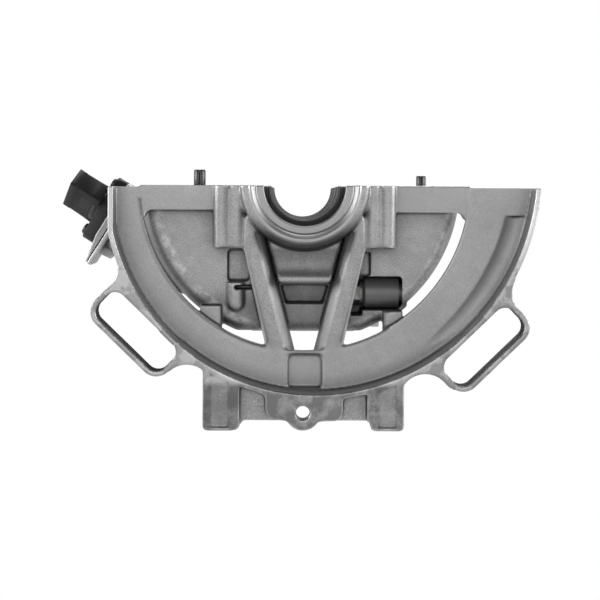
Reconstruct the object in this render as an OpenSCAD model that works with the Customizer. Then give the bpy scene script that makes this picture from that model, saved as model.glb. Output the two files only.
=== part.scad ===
// Lower crankcase half with half bell flange, oil sump and oil pressure relief valve.
// Frame: crank axis along Y at x = 0, z = 0; the joint face is z = 0 and the bell flange looks to -Y.
// The origin is on the crank axis at the mouth of the crank seal seat.

/* [Crank line] */
// Radius of the main bearing housing bores
housing_r = 28.5; // [27:0.1:30]
// Wall of the half bearing shells
shell_t = 2.0; // [1.5:0.1:2.5]
// Length of each main bearing saddle along the crank
saddle_len = 18; // [14:0.5:20]
// Distance from one saddle to the next
saddle_pitch = 72; // [68:1:76]
// Front face of the first saddle
saddle_first_y = 53; // [50:0.5:56]
// Width left and right of the crank axis to the main bolt
main_bolt_x = 46; // [44:0.5:50]
// Radius of the main bolt holes
main_bolt_r = 5.25; // [4.5:0.25:5.5]

/* [Seal seat] */
// Radius of the crank seal seat
seal_r = 37.5; // [35:0.5:39]
// Depth of the crank seal seat
seal_depth = 9; // [7:0.5:11]
// Radius of the hole behind the seal
seal_hole_r = 31.1; // [30.5:0.1:32]
// Outer radius of the machined land round the seat
land_r = 41.6; // [41:0.1:43]
// Outer radius of the cast hub
hub_r = 48.8; // [47:0.1:50]
// How far the machined front stands ahead of the seat mouth
front_step = 3; // [2:0.5:4]

/* [Bell flange] */
// Sideways place of the bell arc's centre
bell_x = 8; // [6:0.5:10]
// Height of the bell arc's centre
bell_z = -1.35; // [-2:0.05:0]
// How far the bell rim's inner side lies outside the ring plate's edge
bell_reach = 30.2; // [29:0.1:31]
// Extra radius of the arc on the starter side
bell_bulge = 14; // [12:0.5:16]
// Angle below the horizontal where the starter side arc takes over
bulge_angle = 75; // [70:1:80]
// How far the flat left side cuts into the bell arc
bell_flat_in = 3.7; // [2:0.1:5]
// Wall of the rim at its front
rim_t = 4; // [3:0.5:5]
// Depth of the bell from its front face to the ring plate
rim_depth = 18; // [15:0.5:20]
// Draft of the rim's inner wall over that depth
rim_draft = 1.2; // [0.5:0.1:2]
// Height of the rim's ends below the joint face
rim_relief = 1.4; // [1:0.1:2]
// Thickness of the ring plate
plate_t = 6; // [5:0.5:8]
// Inner radius of the ring plate
ring_r = 125.3; // [125:0.1:126.5]

/* [Ear loops] */
// Length of the opening in an ear loop
ear_length = 69; // [66:0.5:71]
// Width of the opening in an ear loop
ear_width = 26; // [24:0.5:27]
// Corner radius of the opening
ear_corner = 9; // [7:0.5:11]
// Wall round the opening
ear_wall = 3.8; // [3.4:0.2:5]
// Thickness of an ear loop
ear_t = 20; // [14:0.5:22]
// Slope of the loops
ear_slope = 44; // [42:0.5:46]
// How far the left loop's centre lies outside the bell arc
left_ear_out = 17.45; // [17:0.05:18]
// Angle of the left loop's centre below the horizontal
left_ear_angle = 39; // [38.5:0.1:39.5]
// How far the right loop's centre lies outside the starter side arc
right_ear_out = 16.6; // [16:0.1:17]
// Angle of the right loop's centre below the horizontal
right_ear_angle = 45.55; // [45:0.05:46]

/* [Joint arms] */
// Height of the left arm
left_arm_h = 19; // [17:0.5:21]
// Height of the right arm
right_arm_h = 20.5; // [18:0.5:22]
// Thickness of the arms
arm_t = 12; // [12:0.5:12]
// How far the right arm's front lies behind the ring plate's front
right_arm_step = 1.2; // [0.6:0.2:1.6]
// Corner radius under the outer ends of the arms
arm_fillet = 5; // [3:0.5:7]
// Height of the bolt towers
tower_h = 47.4; // [44:0.2:50]
// Nearest and farthest side of the bolt towers from the crank axis
tower_in_x = 45.3; // [44:0.1:46]
// Farthest side of the bolt towers
tower_out_x = 69.2; // [67:0.1:71]
// Radius of the round fronts of the towers
tower_round = 6.4; // [5:0.2:7]

/* [Struts] */
// Distance of a strut from the middle at its top end
strut_top_x = 45.4; // [44.5:0.1:46]
// Distance of a strut from the middle at its foot end
strut_low_x = 19.4; // [18:0.1:21]
// Width of a strut's front at its top end
strut_top_w = 12; // [11:0.5:14]
// Width of a strut's front at its foot end
strut_low_w = 15; // [13:0.5:17]
// How far a strut's inner side spreads towards the back
strut_spread = 6; // [4:0.5:7]
// Height of the skirt's lower lip below the crank axis
skirt_drop = 73.9; // [72:0.1:76]
// Half width of the skirt at its lower lip
skirt_low_x = 19.5; // [18:0.5:21]

/* [Foot] */
// How far the feet stand below the inner side of the bell rim
foot_reach = 27.15; // [26:0.05:28]
// Depth of the foot's posts from the bell's front face
foot_depth = 40; // [34:1:44]
// Outer side of the left post
left_post_x = 76.1; // [75:0.1:77]
// Outer side of the right post
right_post_x = 74.8; // [74:0.1:76]
// Width of each post
post_w = 25; // [23:0.5:27]
// Height of the lower edge of the web between the posts
web_rise = 6.7; // [6:0.1:8]
// Thickness of that web
web_t = 6; // [5:0.5:8]
// Depth of the pockets beside the bolt boss
pocket_depth = 8; // [6:0.5:9]
// Radius of the foot's bolt hole
foot_hole_r = 5.25; // [4.5:0.25:5.5]
// Height of the foot's bolt hole above the feet
foot_hole_rise = 13.4; // [12.5:0.1:15]
// Radius of the boss round that hole
foot_boss_r = 13.2; // [12:0.1:14]

/* [Sump] */
// How far the sump barrel stays inside the ring plate's edge
sump_gap = 5.3; // [5:0.1:5.8]
// How far the left arc of the barrel is set out
sump_left_shift = 6; // [5:0.25:6.5]
// Wall of the sump
sump_wall = 7; // [6:0.5:8]
// How much the flat bottom cuts off the barrel
sump_flat = 8; // [7:0.25:9]
// Thickness of the front wall
front_wall_t = 10; // [9.5:0.25:11]
// Rounding of the front wall's edge
front_round = 9; // [7:0.25:9]
// Half width of the oil well
well_half_w = 44; // [40:1:44]
// Depth of the well under the flat bottom
well_depth = 12; // [10:0.5:14]
// Height of the joint rails
rail_h = 14; // [12:0.5:16]
// Width of the joint rails
rail_w = 19; // [18:0.5:20]
// Radius of the rail bolt holes
rail_bolt_r = 4.25; // [3.5:0.25:4.5]

/* [Dowels] */
// Radius of the slotted dowel pins where they stand free
dowel_r = 4.5; // [4.25:0.05:4.6]
// How far the holes squeeze the rolled pins
dowel_squeeze = 0.22; // [0.15:0.01:0.25]
// How far the pins stand above the joint face
dowel_proud = 11.8; // [10:0.2:13]
// Length of the pins in the casting
dowel_seat = 14; // [12:0.5:16]
// Wall of the rolled pins
dowel_wall = 1.6; // [1.2:0.1:1.8]

/* [Relief valve] */
// Outer radius of the valve cylinder
valve_r = 12; // [11.6:0.1:12]
// Height of the valve's axis below the crank axis
valve_drop = 82.6; // [82:0.1:83]
// Radius of the cylinder bore
valve_bore_r = 8.0; // [7.6:0.1:8.4]
// Running clearance of the piston
piston_gap = 0.04; // [0.02:0.01:0.08]
// Length of the piston
piston_len = 11; // [9:0.5:11]
// Travel of the piston
piston_travel = 8; // [6:0.5:8]
// Outer radius of the spring
spring_r = 5.6; // [5.2:0.1:6]
// Wire radius of the spring
spring_wire_r = 0.7; // [0.5:0.05:0.8]

/* [Oil sensor] */
// Distance of the sensor along the crank from the seat mouth
sensor_y = 90; // [88:0.5:92]
// Slope of the sensor's axis
sensor_slope = 32; // [31:0.5:33]
// Radius of the bore in the sensor neck
neck_bore_r = 13; // [12:0.5:14]
// Outer radius of the sensor neck
neck_r = 18; // [17:0.5:19]
// Radius of the probe
probe_r = 7.5; // [6.5:0.25:8]
// Length of the probe below its pad
probe_len = 86; // [80:1:88]
// Thickness of the sensor's flange
sensor_flange_t = 9; // [7:0.5:10]
// Distance from the axis to the sensor screws
sensor_screw_x = 27; // [26:0.25:28]

/* [Hidden] */
$fn = 96;
fine = 360;

big = 400;
eps = 0.01;
seat_gap = 0.02;

// Planes along the crank
front_y = -front_step;
plate_y = front_y + rim_depth;
plate_back_y = plate_y + plate_t;
wall_y = plate_y + arm_t;
trough_y = saddle_first_y;
rear_saddle_y = saddle_first_y + 3 * saddle_pitch;
rear_y = rear_saddle_y + saddle_len;

// Sizes that follow the ring plate
bell_r = ring_r + bell_reach;
bell_flat_x = bell_r - bell_x - bell_flat_in;
foot_drop = bell_r - bell_z + foot_reach;
web_drop = foot_drop - web_rise;
foot_hole_drop = foot_drop - foot_hole_rise;
sump_r = ring_r - sump_gap;
sump_drop = sump_r - sump_flat;
well_drop = sump_drop + well_depth;

// The starter side arc touches the main arc at the bulge angle, and takes over a little further
bulge_x = bell_x - bell_bulge * cos(bulge_angle);
bulge_z = bell_z + bell_bulge * sin(bulge_angle);
starter_x = bell_x + bell_r * cos(bulge_angle) + 12;

// Centres of the ear loops, each on a line out of its arc's centre
left_ear_x = bell_x - (bell_r + left_ear_out) * cos(left_ear_angle);
left_ear_z = bell_z - (bell_r + left_ear_out) * sin(left_ear_angle);
right_ear_x = bulge_x + (bell_r + bell_bulge + right_ear_out) * cos(right_ear_angle);
right_ear_z = bulge_z - (bell_r + bell_bulge + right_ear_out) * sin(right_ear_angle);

// Sizes of the bearing saddles
journal_r = housing_r - shell_t;
saddle_wall = 13.5;
bulkhead_t = 8;
bulkhead_low = 86;
nose_r = journal_r + 0.5;
nose_half_w = 28.3;
nose_y = 30;
nose_wall = 5.4;
front_bore_r = 33;
main_bolt_pad = 10;
main_bolt_depth = 47;

// Ring plate features
pocket_w = 26.7;
pocket_mid_x = 0.55;
pocket_top_z = -127.65;
plate_pocket_depth = 3.5;
channel_r = 14;
channel_depth = 2.6;
channel_tilt = 3;
channel_angle = -10;
channel_top_z = -22.5;

// Relief valve pocket in the sump's front wall
valve_y = wall_y + 11.4;
valve_x0 = 44.6;
valve_x1 = 72.5;
valve_pocket_x0 = 35;
valve_pocket_x1 = 75.2;
valve_pocket_top = 69.6;
valve_pocket_low = 95.4;
valve_slot_low = 99.6;
valve_pocket_back = wall_y + 24;
valve_pocket_wall = 4;
valve_spigot_r = 7;
valve_spigot_len = 5;
valve_head_t = 3.5;
piston_x1 = valve_x1 - 4;
plug_shank = 4;

// Sensor pad: the neck's axis starts at the middle of the pad's face
pad_x = -sump_r - sump_left_shift - 25.3;
pad_z = -25.7;
pad_t = 4;
pad_gap = 0.8;
plate_strip_t = 2.2;
pad_up = 28.5;
pad_down = 43;
pad_w = 34;

// A flat outline in the x-z plane, drawn out along the crank from y0 to y1
module slab(y0, y1) {
    translate([0, y1, 0]) rotate([90, 0, 0]) linear_extrude(y1 - y0) children();
}

// An outline in the y-z plane, drawn out along x
module across(x0, x1) {
    translate([x0, 0, 0]) rotate([90, 0, 90]) linear_extrude(x1 - x0) children();
}

// The lower half of a body turned about the crank axis, from an outline of radius and y
module turned_half() {
    rotate([-90, 0, 0]) rotate_extrude(angle = 180) children();
}

// A round bar along the crank
module along_crank(r, y0, y1) {
    translate([0, y0, 0]) rotate([-90, 0, 0]) cylinder(h = y1 - y0, r = r);
}

// A round bar along x
module along_x(r, x0, x1, y, z) {
    translate([x0, y, z]) rotate([0, 90, 0]) cylinder(h = x1 - x0, r = r);
}

// A rectangle with round corners about its centre
module rounded(w, h, r) {
    square([w - 2 * r, h], center = true);
    square([w, h - 2 * r], center = true);
    for (sx = [-1, 1], sz = [-1, 1])
        translate([sx * (w / 2 - r), sz * (h / 2 - r)]) circle(r);
}

// Everything below a height, as an outline in the x-z plane
module below(z) {
    translate([-big, z - 2 * big]) square([2 * big, 2 * big]);
}

// Everything above a height
module above(z) {
    translate([-big, z]) square([2 * big, 2 * big]);
}

// The side of the bell where the starter sits
module starter_side() {
    translate([starter_x, -big]) square([2 * big, 2 * big]);
}

// Outline of the bell: two arcs that run into each other and a flat left side
module bell_outline(extra) {
    intersection() {
        union() {
            translate([bell_x, bell_z]) circle(bell_r + extra, $fn = fine);
            intersection() {
                translate([bulge_x, bulge_z]) circle(bell_r + bell_bulge + extra, $fn = fine);
                starter_side();
            }
        }
        translate([-bell_flat_x - extra, -big]) square([2 * big, big - rim_relief]);
    }
}

// The drafted space inside the rim
module bell_space() {
    over = 1;
    draft_over = rim_draft * over / rim_depth;
    intersection() {
        union() {
            translate([bell_x, front_y - over, bell_z]) rotate([-90, 0, 0])
                cylinder(
                    h = rim_depth + over,
                    r1 = bell_r + draft_over,
                    r2 = bell_r - rim_draft,
                    $fn = fine
                );
            intersection() {
                translate([bulge_x, front_y - over, bulge_z]) rotate([-90, 0, 0])
                    cylinder(
                        h = rim_depth + over,
                        r1 = bell_r + bell_bulge + draft_over,
                        r2 = bell_r + bell_bulge - rim_draft,
                        $fn = fine
                    );
                slab(front_y - 2 * over, plate_y + over) starter_side();
            }
        }
        translate([-bell_flat_x, front_y - 2 * over, -big]) cube([2 * big, big, 2 * big]);
    }
}

// Shallow square pocket in the ring plate under the crank
module plate_pocket() {
    corner = 3;
    wall = 1.2;
    mid_z = pocket_top_z - pocket_w / 2;
    hull() {
        slab(plate_y - eps, plate_y + eps)
            translate([pocket_mid_x, mid_z]) rounded(pocket_w, pocket_w, corner);
        slab(plate_y + plate_pocket_depth - eps, plate_y + plate_pocket_depth)
            translate([pocket_mid_x, mid_z])
                rounded(pocket_w - 2 * wall, pocket_w - 2 * wall, corner - wall);
    }
}

// Hollow beside the rim that makes room for the starter ring, running out towards the bottom
module starter_channel() {
    path_r = bell_r + bell_bulge - rim_draft - 8;
    intersection() {
        translate([bulge_x, plate_y + channel_depth - channel_r, bulge_z])
            rotate([-90, 0, 0])
                rotate([0, 0, -channel_angle])
                    translate([0, 0, -path_r * sin(channel_tilt)])
                        rotate([0, -channel_tilt, 0])
                            rotate_extrude() translate([path_r, 0]) circle(channel_r);
        slab(plate_y - 1, plate_y + channel_depth) intersection() {
            bell_outline(-rim_draft);
            below(channel_top_z);
            translate([0, -big]) square([big, big]);
        }
    }
}

module bell_flange() color("silver") {
    lip_w = 2.2;
    lip_t = 1;
    difference() {
        slab(front_y, plate_back_y) difference() {
            bell_outline(rim_t);
            circle(ring_r);
        }
        bell_space();
        plate_pocket();
        starter_channel();
        slab(plate_y - 1, plate_y + lip_t) intersection() {
            circle(ring_r + lip_w);
            polygon([[-big, -rim_relief - 30], [0, 0], [-60, -big * 0.7]]);
        }
    }
}

// Puts an outline on an ear's centre, along its slope
module at_ear(x, z, slope) {
    translate([x, z]) rotate(slope) children();
}

// An ear loop: a rounded frame with webs that run into the rim, and round hollows beside them
module ear_loop(x, z, slope, webs, hollows) {
    slab(front_y, front_y + ear_t) difference() {
        union() {
            at_ear(x, z, slope)
                rounded(ear_length + 2 * ear_wall, ear_width + 2 * ear_wall, ear_corner + ear_wall);
            for (web = webs) translate([x, z]) polygon(web);
        }
        at_ear(x, z, slope) rounded(ear_length, ear_width, ear_corner);
        for (hollow = hollows)
            translate([x + hollow[0], z + hollow[1]]) circle(hollow[2]);
        bell_outline(rim_t);
    }
}

module left_ear_loop() color("silver") {
    foot_side = -left_post_x - left_ear_x;
    upper_web = [[-3.6, 49.2], [-18.6, 49.2], [-23.6, 31.2], [-8.6, 18.2], [6.4, 30.2]];
    lower_web = [
        [22.4, -31.3], [foot_side, -32.8], [foot_side, -9.8], [31.4, 0.2], [22.4, -14.8]
    ];
    ear_loop(
        left_ear_x, left_ear_z, -ear_slope, [upper_web, lower_web],
        [[-32.6, 47.8, 19], [38.4, -44.4, 19.7]]
    );
}

module right_ear_loop() color("silver") {
    foot_side = right_post_x - right_ear_x;
    upper_web = [[10.3, 54.7], [23.2, 53.7], [25.9, 29.1], [25, 24], [13, 18], [2, 31]];
    lower_web = [
        [-30.2, -26.5], [-25.9, -30.5], [-21.7, -32.5], [-17.7, -33.3], [-14.7, -19.3],
        [-30.7, 0.7], [foot_side, -4.3], [foot_side, -28.3]
    ];
    ear_loop(
        right_ear_x, right_ear_z, ear_slope, [upper_web, lower_web],
        [[38.8, 41.2, 18], [-43.9, -40, 19.5]]
    );
}

// Bar of the joint face between the ring plate and the hub, with a fillet at its outer end
module arm_outline(h) {
    edge_x = sqrt(ring_r * ring_r - h * h);
    intersection() {
        circle(ring_r);
        union() {
            translate([tower_in_x, -h]) square([ring_r, h]);
            difference() {
                translate([edge_x - 2 * arm_fillet, -h - 2 * arm_fillet])
                    square([3 * arm_fillet, 2 * arm_fillet]);
                translate([edge_x - arm_fillet * 1.5, -h - arm_fillet]) circle(arm_fillet);
                translate([edge_x - 3 * arm_fillet, -h - 3 * arm_fillet])
                    square([1.5 * arm_fillet, 3 * arm_fillet]);
                translate([edge_x - 3 * arm_fillet, -h - 3 * arm_fillet])
                    square([3 * arm_fillet, 2 * arm_fillet]);
            }
        }
    }
}

// Tower with two round fronts that takes a joint bolt beside the hub
module bolt_tower() {
    round_y = plate_y - 2;
    xs = [tower_in_x + tower_round, tower_out_x - tower_round];
    difference() {
        union() {
            translate([tower_in_x, plate_y, -tower_h])
                cube([tower_out_x - tower_in_x, arm_t, tower_h]);
            for (x = xs) {
                translate([x, round_y, -tower_h]) cylinder(h = tower_h, r = tower_round);
                translate([x - tower_round, round_y, -tower_h])
                    cube([2 * tower_round, plate_y - round_y, tower_h]);
            }
        }
        along_crank(hub_r, front_y - 1, wall_y + 1);
    }
}

module joint_arm(h, step) {
    bolt_x = (tower_in_x + tower_out_x) / 2;
    difference() {
        union() {
            slab(plate_y + step, wall_y) difference() {
                arm_outline(h);
                circle(hub_r);
            }
            bolt_tower();
        }
        translate([bolt_x, wall_y - arm_t / 2 - 1, -tower_h - 1])
            cylinder(h = tower_h + 2, r = main_bolt_r);
        children();
    }
}

// Hole of a dowel, with a chamfer at the joint face
module dowel_hole(x, y) {
    hole_r = dowel_r - dowel_squeeze + seat_gap;
    chamfer = 0.6;
    translate([x, y, -dowel_seat - 1]) cylinder(h = dowel_seat + 2, r = hole_r);
    translate([x, y, -chamfer]) cylinder(h = 2 * chamfer, r1 = hole_r, r2 = hole_r + 2 * chamfer);
}

module left_joint_arm() color("silver") {
    mirror([1, 0, 0]) joint_arm(left_arm_h, 0) dowel_hole(front_dowel_x, front_dowel_y);
}
front_dowel_x = 80.3;
front_dowel_y = wall_y - arm_t / 2;

module right_joint_arm() color("silver") {
    joint_arm(right_arm_h, right_arm_step) cylinder(h = eps, r = eps);
}

// Hub: half ring that holds the crank seal, with the scooped skirt under it
module seal_hub() color("silver") {
    groove = 1.6;
    round_r = 4;
    skirt_y = 9;
    difference() {
        union() {
            turned_half() {
                translate([land_r, front_y]) mirror([1, 0]) polygon([
                    [0, 0],
                    [0, wall_y - front_y],
                    [land_r - seal_hole_r, wall_y - front_y],
                    [land_r - seal_hole_r, seal_depth - front_y],
                    [land_r - seal_r, seal_depth - front_y],
                    [land_r - seal_r, -front_y],
                    [0.6, 0]
                ]);
                translate([land_r - eps, front_y + groove])
                    square([hub_r - round_r - land_r + eps, wall_y - front_y - groove]);
                translate([land_r, front_y + groove + round_r])
                    square([hub_r - land_r, wall_y - front_y - groove - round_r]);
                translate([hub_r - round_r, front_y + groove + round_r]) circle(round_r);
            }
            difference() {
                slab(skirt_y, wall_y) polygon([
                    [-29.5, -36], [29.5, -36], [skirt_low_x, -skirt_drop], [-skirt_low_x, -skirt_drop]
                ]);
                along_crank(hub_r - 1, skirt_y - 1, wall_y + 1);
                // The scoop between the hub and the lip
                along_x(17, -big / 2, big / 2, skirt_y - 12.5, -(hub_r + skirt_drop) / 2 + 3);
            }
        }
        translate([-big, -big, 0]) cube([2 * big, 2 * big, big]);
    }
}

// Section of a strut: a round front, a steep outer side and a spreading inner side
module strut_section(z, x, w, y) {
    r = 4.5;
    translate([0, 0, z]) linear_extrude(0.1) {
        for (side = [-1, 1])
            translate([x + side * (w / 2 - r), y + r]) circle(r, $fn = 32);
        translate([x - w / 2 - strut_spread, wall_y - 1]) square([w + strut_spread + 1, 1]);
    }
}

module v_struts() color("silver") {
    top_z = -24;
    low_z = -126;
    lap = 5;
    for (side = [0, 1]) mirror([side, 0, 0]) intersection() {
        difference() {
            hull() {
                strut_section(top_z, strut_top_x, strut_top_w, front_y + 5.2);
                strut_section(low_z - lap, strut_low_x, strut_low_w, plate_y + 1);
            }
            along_crank(hub_r, front_y - 1, wall_y + 1);
            slab(9, wall_y + 1) polygon([
                [-29.5, -36], [29.5, -36], [skirt_low_x, -skirt_drop], [-skirt_low_x, -skirt_drop]
            ]);
            translate([tower_in_x, front_y, -tower_h]) cube([30, big, tower_h]);
        }
        union() {
            slab(front_y, plate_back_y) circle(ring_r);
            slab(plate_back_y, wall_y) circle(ring_r + lap);
        }
    }
}

// Posts of the foot as seen from the front
module foot_posts() {
    corner = 3.5;
    height = 74;
    for (x = [-left_post_x + post_w / 2, right_post_x - post_w / 2])
        translate([x, height / 2 - foot_drop]) rounded(post_w, height, corner);
}

// Web between the posts, with the round boss of the bolt hole
module foot_web() {
    boss_x = -1;
    chamfer = 5.5;
    left_in = -left_post_x + post_w;
    polygon([
        [left_in - 1, -foot_drop + 0.6],
        [left_in + 0.4, -foot_drop + 0.6],
        [left_in + chamfer, -web_drop],
        [right_post_x - post_w + 1, -web_drop],
        [right_post_x - post_w + 1, -foot_drop + 64],
        [left_in - 1, -foot_drop + 64]
    ]);
    translate([boss_x, -foot_hole_drop]) circle(foot_boss_r);
}

// Pockets on both sides of the bolt boss
module foot_pockets() {
    rib = 2.6;
    left_in = -left_post_x + post_w + rib;
    right_in = right_post_x - post_w - rib;
    low = web_rise - 3;
    translate([0, -foot_drop]) polygon([
        [left_in, 33.1], [-31.5, 27.6], [-29.6, 25.4], [-29.2, 23], [-29.2, 16],
        [-28.2, 12.4], [-25.9, 9.8], [-22.5, 8.4], [-13, 7.4], [-13, low],
        [left_in, low]
    ]);
    translate([0, -foot_drop]) polygon([
        [right_in, 27.4], [31.8, 24.8], [29.8, 23.6], [29.2, 21.5], [29.2, 14],
        [28.4, 10.6], [26.4, 8.4], [23, 7.4], [12, 7.1], [12, low],
        [right_in, low]
    ]);
}

module support_foot() color("silver") {
    web_y = front_y + pocket_depth;
    panel_rib = 6;
    panel_t = 1.2;
    hollow_wall = 5;
    back_y = front_y + foot_depth;
    difference() {
        union() {
            slab(front_y, back_y) foot_posts();
            slab(web_y, web_y + web_t) foot_web();
            slab(front_y, web_y) difference() {
                foot_web();
                foot_pockets();
            }
        }
        slab(front_y - 1, back_y + 1) bell_outline(rim_t);
        translate([-1, front_y - 1, -foot_hole_drop]) rotate([-90, 0, 0])
            cylinder(h = pocket_depth + web_t + 2, r = foot_hole_r);
        for (x = [-left_post_x + post_w / 2, right_post_x - post_w / 2]) {
            slab(front_y - 1, front_y + panel_t)
                translate([x, 34 - foot_drop])
                    square([post_w - 2 * panel_rib + 2, 64], center = true);
            slab(web_y + web_t, back_y + 1)
                translate([x, -(foot_drop - 6) + 35])
                    rounded(post_w - 2 * hollow_wall, 70, 3);
        }
    }
}

// Two blocks that carry the ring plate on the sump's front wall
module bell_ribs() color("silver") {
    left_out = left_post_x + 3.5;
    right_out = right_post_x + 0.4;
    for (rib = [
        [-left_out, -left_out + 16.2, ring_r - 33.3],
        [right_out - 14.8, right_out, ring_r - 29.3]
    ]) difference() {
        slab(plate_back_y, wall_y + front_round - 1) intersection() {
            difference() {
                circle(ring_r + 8);
                circle(ring_r - 19.3);
            }
            translate([rib[0], 9.3 - ring_r])
                square([rib[1] - rib[0], ring_r - 9.3 - rib[2]]);
        }
        sump_front_body();
        slab(wall_y + 4, wall_y + front_round) valve_pocket(valve_pocket_wall);
    }
}

// Outline of the sump: two arcs and a flat bottom
module sump_outline(inset) {
    intersection() {
        union() {
            translate([-sump_left_shift, 0]) circle(sump_r + 1 - inset);
            circle(sump_r - inset);
        }
        translate([-big, -sump_drop + inset]) square([2 * big, sump_drop - inset]);
    }
}

// Front of the sump with its round edge: arcs turned about the crank, bottom drawn along x
module sump_front_body() {
    depth = trough_y - wall_y;
    module edge(r) {
        translate([0, wall_y]) square([r - front_round, depth]);
        translate([0, wall_y + front_round]) square([r, depth - front_round]);
        translate([r - front_round, wall_y + front_round]) circle(front_round);
    }
    intersection() {
        union() {
            turned_half() edge(sump_r);
            translate([-sump_left_shift, 0, 0]) turned_half() edge(sump_r + 1);
        }
        across(-big, big) {
            translate([wall_y, -sump_drop + front_round]) square([depth, sump_drop]);
            translate([wall_y + front_round, -sump_drop]) square([depth - front_round, sump_drop]);
            translate([wall_y + front_round, -sump_drop + front_round]) circle(front_round);
        }
    }
}

// Pocket of the relief valve, as seen from the front
module valve_pocket(wall) {
    intersection() {
        union() {
            w = valve_pocket_x1 - valve_pocket_x0;
            h = valve_pocket_low - valve_pocket_top;
            translate([valve_pocket_x0 + w / 2, -valve_pocket_top - h / 2])
                rounded(w + 2 * wall, h + 2 * wall, 3);
            slot_h = valve_slot_low - valve_pocket_top;
            translate([valve_pocket_x0 - wall, -valve_slot_low - wall])
                square([valve_x0 - valve_pocket_x0 + 2 * wall, slot_h]);
        }
        sump_outline(1.2 - 0.8 * wall);
    }
}

// Dark hollow between the struts under the skirt
module skirt_hollow(wall) {
    polygon([
        [-18.5 - wall, -76 + wall], [18.5 + wall, -76 + wall],
        [14.4 + wall, -90.6 - wall], [-14.4 - wall, -90.6 - wall]
    ]);
}

side_rib_r = sump_r + 5.5;
side_rib_low = 84;
side_rib_h = 60;

module sump_front_wall() color("silver") {
    hollow_back = wall_y + 16;
    boss = [-52.6, wall_y + 3, -90];
    boss_r = 7.6;
    difference() {
        union() {
            difference() {
                sump_front_body();
                slab(wall_y + front_wall_t, trough_y + 1) sump_outline(sump_wall);
            }
            slab(wall_y + 4, valve_pocket_back + 2) valve_pocket(valve_pocket_wall);
            slab(wall_y + front_wall_t - 1, hollow_back + 3) skirt_hollow(3);
            // Upright boss on the left with a round lower end
            translate(boss) cylinder(h = 15.5, r = boss_r);
            translate(boss) sphere(boss_r);
            // Rib down the left side of the barrel
            slab(wall_y + front_round, trough_y) intersection() {
                difference() {
                    translate([-sump_left_shift, 0]) circle(side_rib_r);
                    circle(sump_r - sump_wall);
                }
                translate([-side_rib_r, -side_rib_low]) square([side_rib_r / 3, side_rib_h]);
            }
        }
        along_crank(front_bore_r, wall_y - 1, trough_y + 1);
        translate([-big, -big, 0]) cube([2 * big, 2 * big, big]);
        slab(wall_y - 1, valve_pocket_back) valve_pocket(0);
        slab(wall_y - 1, hollow_back) skirt_hollow(0);
        // Left pocket and the slot under it, which also cuts the boss
        slab(wall_y - 1, wall_y + 4) translate([-50.6, -61.4]) rounded(17, 24, 2.5);
        slab(wall_y - boss_r, wall_y + 7) translate([-46.7, -78.2]) rounded(14, 3.4, 1.5);
        // Step beside the right strut
        slab(wall_y - 1, wall_y + 2.5) translate([36, -69]) square([14.6, 18]);
        // Seat of the valve's spigot
        along_x(
            valve_spigot_r + seat_gap, valve_x1 - 1, valve_x1 + valve_spigot_len,
            valve_y, -valve_drop
        );
    }
}

// Axis of the sensor: the origin goes to the pad's face and +Z points out of the case
module at_sensor() {
    translate([pad_x, sensor_y, pad_z]) rotate([0, -(90 - sensor_slope), 0]) children();
}

module sump_trough() color("silver") {
    well_top = -sump_drop + sump_wall - 0.5;
    well = [
        [146, well_top], [164, -well_drop], [rear_y - 24, -well_drop],
        [rear_y - 6, well_top]
    ];
    inner = [
        [152, -sump_drop + 9], [167, -well_drop + 6], [rear_y - 27, -well_drop + 6],
        [rear_y - 15, -sump_drop + 9]
    ];
    difference() {
        union() {
            difference() {
                union() {
                    slab(trough_y, rear_y) difference() {
                        sump_outline(0);
                        sump_outline(sump_wall);
                        above(-rail_h);
                    }
                    across(-well_half_w, well_half_w) polygon(well);
                    along_x(drain_boss_r, well_half_w - 1, drain_face_x, drain_y, drain_z);
                }
                across(-well_half_w + sump_wall, well_half_w - sump_wall) polygon(inner);
            }
            for (x = baffle_bolt_x, y = baffle_bolt_y)
                translate([x, y, -sump_drop + sump_wall - 1])
                    cylinder(h = baffle_z + sump_drop - sump_wall + 1, r = 6);
        }
        along_x(drain_r, well_half_w - sump_wall - 1, drain_face_x + 1, drain_y, drain_z);
        for (x = baffle_bolt_x, y = baffle_bolt_y)
            translate([x, y, -sump_drop + sump_wall]) cylinder(h = big, r = baffle_screw_r);
        at_sensor() translate([0, 0, -100]) cylinder(h = 100, r = neck_bore_r);
    }
}
drain_y = 214;
drain_z = -well_drop + 9.5;
drain_r = 7;
drain_boss_r = 9.5;
drain_face_x = well_half_w + 14.5;
baffle_bolt_x = [-46, 46];
baffle_bolt_y = [saddle_first_y + 27, saddle_first_y + 143];
baffle_screw_r = 2.5;
baffle_z = -93;
baffle_t = 1.5;

// Joint rail along one side of the trough
module rail(x0) {
    difference() {
        translate([x0, trough_y, -rail_h]) cube([rail_w, rear_y - trough_y, rail_h]);
        for (y = rail_bolt_y)
            translate([x0 + rail_w / 2, y, -rail_h - 1])
                cylinder(h = rail_h + 2, r = rail_bolt_r);
        children();
    }
}
rail_bolt_y = [saddle_first_y + 9, saddle_first_y + 81, saddle_first_y + 153];
left_rail_x = -sump_left_shift - sump_r - 1;
right_rail_x = sump_r - rail_w;

module left_rail() color("silver") {
    rail(left_rail_x) at_sensor() {
        translate([0, 0, -100]) cylinder(h = 100, r = neck_bore_r);
        translate([sensor_screw_x, 0, -30]) cylinder(h = 30, r = sensor_screw_r);
    }
}

module right_rail() color("silver") {
    rail(right_rail_x) dowel_hole(rear_dowel_x, rear_dowel_y);
}
rear_dowel_x = right_rail_x + rail_w / 2;
rear_dowel_y = rear_y - 16;

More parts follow.
